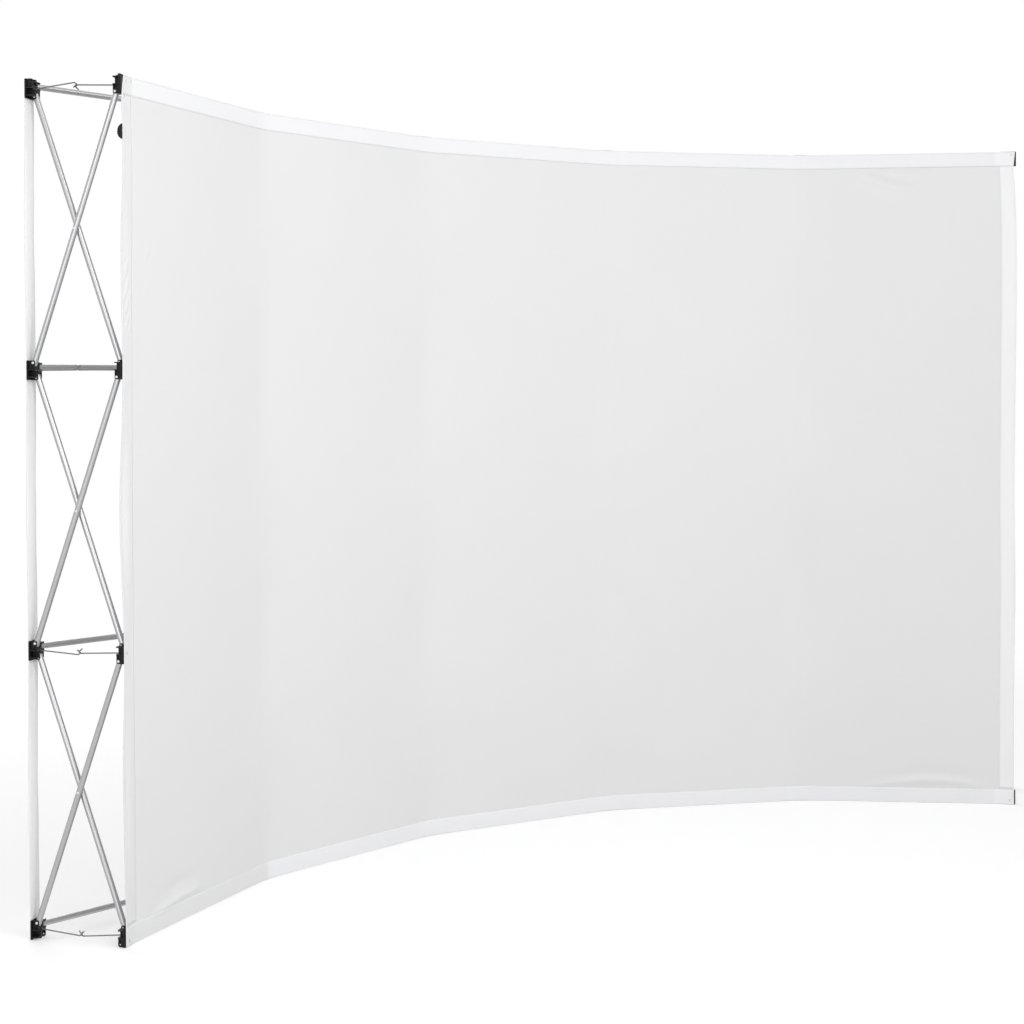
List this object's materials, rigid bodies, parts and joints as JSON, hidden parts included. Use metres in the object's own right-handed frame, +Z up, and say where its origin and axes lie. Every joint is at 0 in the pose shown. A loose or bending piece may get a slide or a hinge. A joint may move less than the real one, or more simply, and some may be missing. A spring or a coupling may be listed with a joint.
{
  "type": "pop up display backwall",
  "caption": "Curved folding backwall: a lattice of scissor tubes and plastic hubs, with one white stretch-fabric panel on its hollow side.",
  "frame": {"origin": "on the floor, under the middle of the whole object", "axes": "+X to the right seen from the panel side, +Y to the rear (the panel, hollow side faces -Y), +Z up"},
  "size_m": [3.6108, 0.9146, 2.256],
  "materials": {
    "hub_plastic": "moulded black nylon, fine satin",
    "tube_aluminium": "satin anodised",
    "plug_plastic": "moulded black",
    "rivet_steel": "bright zinc-plated",
    "washer_nylon": "moulded nylon",
    "hook_wire": "drawn steel wire, zinc-plated",
    "pad_hook_tape": "woven hook tape",
    "panel_fabric": "white stretch knit",
    "hem_tape": "white loop tape, stitched",
    "grip_rubber": "ribbed black rubber",
    "end_tape": "white woven tape"
  },
  "bodies": {
    "frame": {"front_hubs": "hub_plastic", "rear_hubs": "hub_plastic", "column_tubes_near": "tube_aluminium", "column_tubes_far": "tube_aluminium", "row_tubes_upper": "tube_aluminium", "row_tubes_lower": "tube_aluminium", "column_tube_plugs": "plug_plastic", "row_tube_plugs": "plug_plastic", "column_hub_pins": "rivet_steel", "row_hub_pins": "rivet_steel", "column_scissor_rivets": "rivet_steel", "row_scissor_rivets": "rivet_steel", "column_scissor_washers": "washer_nylon", "row_scissor_washers": "washer_nylon", "front_hook_rods": "hook_wire", "hook_arm_pins": "rivet_steel", "hub_pads": "pad_hook_tape", "rear_strip_left": "end_tape", "rear_strip_right": "end_tape"},
    "panel": {"graphic_panel": "panel_fabric", "panel_hem": "hem_tape", "edge_grip": "grip_rubber"},
    "hook_arm_c1_r1": {"hook_arm_c1_r1": "hook_wire"},
    "hook_arm_c1_r2": {"hook_arm_c1_r2": "hook_wire"},
    "hook_arm_c1_r3": {"hook_arm_c1_r3": "hook_wire"},
    "hook_arm_c1_r4": {"hook_arm_c1_r4": "hook_wire"},
    "hook_arm_c2_r1": {"hook_arm_c2_r1": "hook_wire"},
    "hook_arm_c2_r2": {"hook_arm_c2_r2": "hook_wire"},
    "hook_arm_c2_r3": {"hook_arm_c2_r3": "hook_wire"},
    "hook_arm_c2_r4": {"hook_arm_c2_r4": "hook_wire"},
    "hook_arm_c3_r1": {"hook_arm_c3_r1": "hook_wire"},
    "hook_arm_c3_r2": {"hook_arm_c3_r2": "hook_wire"},
    "hook_arm_c3_r3": {"hook_arm_c3_r3": "hook_wire"},
    "hook_arm_c3_r4": {"hook_arm_c3_r4": "hook_wire"},
    "hook_arm_c4_r1": {"hook_arm_c4_r1": "hook_wire"},
    "hook_arm_c4_r2": {"hook_arm_c4_r2": "hook_wire"},
    "hook_arm_c4_r3": {"hook_arm_c4_r3": "hook_wire"},
    "hook_arm_c4_r4": {"hook_arm_c4_r4": "hook_wire"},
    "hook_arm_c5_r1": {"hook_arm_c5_r1": "hook_wire"},
    "hook_arm_c5_r2": {"hook_arm_c5_r2": "hook_wire"},
    "hook_arm_c5_r3": {"hook_arm_c5_r3": "hook_wire"},
    "hook_arm_c5_r4": {"hook_arm_c5_r4": "hook_wire"},
    "hook_arm_c6_r1": {"hook_arm_c6_r1": "hook_wire"},
    "hook_arm_c6_r2": {"hook_arm_c6_r2": "hook_wire"},
    "hook_arm_c6_r3": {"hook_arm_c6_r3": "hook_wire"},
    "hook_arm_c6_r4": {"hook_arm_c6_r4": "hook_wire"}
  },
  "joints": [
    {"name": "hook_arm_c1_r1_swing", "type": "hinge", "parent": "frame", "child": "hook_arm_c1_r1", "pos_m": [-1.77373, -0.26008, 0.0255], "axis": [0.7133, 0.7009, 0], "range_deg": [0, 50]},
    {"name": "hook_arm_c1_r2_swing", "type": "hinge", "parent": "frame", "child": "hook_arm_c1_r2", "pos_m": [-1.77373, -0.26008, 0.7605], "axis": [0.7133, 0.7009, 0], "range_deg": [0, 50]},
    {"name": "hook_arm_c1_r3_swing", "type": "hinge", "parent": "frame", "child": "hook_arm_c1_r3", "pos_m": [-1.77373, -0.26008, 1.4955], "axis": [0.7133, 0.7009, 0], "range_deg": [0, 50]},
    {"name": "hook_arm_c1_r4_swing", "type": "hinge", "parent": "frame", "child": "hook_arm_c1_r4", "pos_m": [-1.77373, -0.26008, 2.2305], "axis": [0.7133, 0.7009, 0], "range_deg": [0, 50]},
    {"name": "hook_arm_c2_r1_swing", "type": "hinge", "parent": "frame", "child": "hook_arm_c2_r1", "pos_m": [-1.13705, 0.19574, 0.0255], "axis": [0.8934, 0.4493, 0], "range_deg": [0, 50]},
    {"name": "hook_arm_c2_r2_swing", "type": "hinge", "parent": "frame", "child": "hook_arm_c2_r2", "pos_m": [-1.13705, 0.19574, 0.7605], "axis": [0.8934, 0.4493, 0], "range_deg": [0, 50]},
    {"name": "hook_arm_c2_r3_swing", "type": "hinge", "parent": "frame", "child": "hook_arm_c2_r3", "pos_m": [-1.13705, 0.19574, 1.4955], "axis": [0.8934, 0.4493, 0], "range_deg": [0, 50]},
    {"name": "hook_arm_c2_r4_swing", "type": "hinge", "parent": "frame", "child": "hook_arm_c2_r4", "pos_m": [-1.13705, 0.19574, 2.2305], "axis": [0.8934, 0.4493, 0], "range_deg": [0, 50]},
    {"name": "hook_arm_c3_r1_swing", "type": "hinge", "parent": "frame", "child": "hook_arm_c3_r1", "pos_m": [-0.39151, 0.43511, 0.0255], "axis": [0.988, 0.1547, 0], "range_deg": [0, 50]},
    {"name": "hook_arm_c3_r2_swing", "type": "hinge", "parent": "frame", "child": "hook_arm_c3_r2", "pos_m": [-0.39151, 0.43511, 0.7605], "axis": [0.988, 0.1547, 0], "range_deg": [0, 50]},
    {"name": "hook_arm_c3_r3_swing", "type": "hinge", "parent": "frame", "child": "hook_arm_c3_r3", "pos_m": [-0.39151, 0.43511, 1.4955], "axis": [0.988, 0.1547, 0], "range_deg": [0, 50]},
    {"name": "hook_arm_c3_r4_swing", "type": "hinge", "parent": "frame", "child": "hook_arm_c3_r4", "pos_m": [-0.39151, 0.43511, 2.2305], "axis": [0.988, 0.1547, 0], "range_deg": [0, 50]},
    {"name": "hook_arm_c4_r1_swing", "type": "hinge", "parent": "frame", "child": "hook_arm_c4_r1", "pos_m": [0.39151, 0.43511, 0.0255], "axis": [0.988, -0.1547, 0], "range_deg": [0, 50]},
    {"name": "hook_arm_c4_r2_swing", "type": "hinge", "parent": "frame", "child": "hook_arm_c4_r2", "pos_m": [0.39151, 0.43511, 0.7605], "axis": [0.988, -0.1547, 0], "range_deg": [0, 50]},
    {"name": "hook_arm_c4_r3_swing", "type": "hinge", "parent": "frame", "child": "hook_arm_c4_r3", "pos_m": [0.39151, 0.43511, 1.4955], "axis": [0.988, -0.1547, 0], "range_deg": [0, 50]},
    {"name": "hook_arm_c4_r4_swing", "type": "hinge", "parent": "frame", "child": "hook_arm_c4_r4", "pos_m": [0.39151, 0.43511, 2.2305], "axis": [0.988, -0.1547, 0], "range_deg": [0, 50]},
    {"name": "hook_arm_c5_r1_swing", "type": "hinge", "parent": "frame", "child": "hook_arm_c5_r1", "pos_m": [1.13705, 0.19574, 0.0255], "axis": [0.8934, -0.4493, 0], "range_deg": [0, 50]},
    {"name": "hook_arm_c5_r2_swing", "type": "hinge", "parent": "frame", "child": "hook_arm_c5_r2", "pos_m": [1.13705, 0.19574, 0.7605], "axis": [0.8934, -0.4493, 0], "range_deg": [0, 50]},
    {"name": "hook_arm_c5_r3_swing", "type": "hinge", "parent": "frame", "child": "hook_arm_c5_r3", "pos_m": [1.13705, 0.19574, 1.4955], "axis": [0.8934, -0.4493, 0], "range_deg": [0, 50]},
    {"name": "hook_arm_c5_r4_swing", "type": "hinge", "parent": "frame", "child": "hook_arm_c5_r4", "pos_m": [1.13705, 0.19574, 2.2305], "axis": [0.8934, -0.4493, 0], "range_deg": [0, 50]},
    {"name": "hook_arm_c6_r1_swing", "type": "hinge", "parent": "frame", "child": "hook_arm_c6_r1", "pos_m": [1.77373, -0.26008, 0.0255], "axis": [0.7133, -0.7009, 0], "range_deg": [0, 50]},
    {"name": "hook_arm_c6_r2_swing", "type": "hinge", "parent": "frame", "child": "hook_arm_c6_r2", "pos_m": [1.77373, -0.26008, 0.7605], "axis": [0.7133, -0.7009, 0], "range_deg": [0, 50]},
    {"name": "hook_arm_c6_r3_swing", "type": "hinge", "parent": "frame", "child": "hook_arm_c6_r3", "pos_m": [1.77373, -0.26008, 1.4955], "axis": [0.7133, -0.7009, 0], "range_deg": [0, 50]},
    {"name": "hook_arm_c6_r4_swing", "type": "hinge", "parent": "frame", "child": "hook_arm_c6_r4", "pos_m": [1.77373, -0.26008, 2.2305], "axis": [0.7133, -0.7009, 0], "range_deg": [0, 50]},
    {"name": "panel_pull_off", "type": "slide", "parent": "frame", "child": "panel", "axis": [0, -1, 0], "range_m": [0, 0.4]}
  ]
}
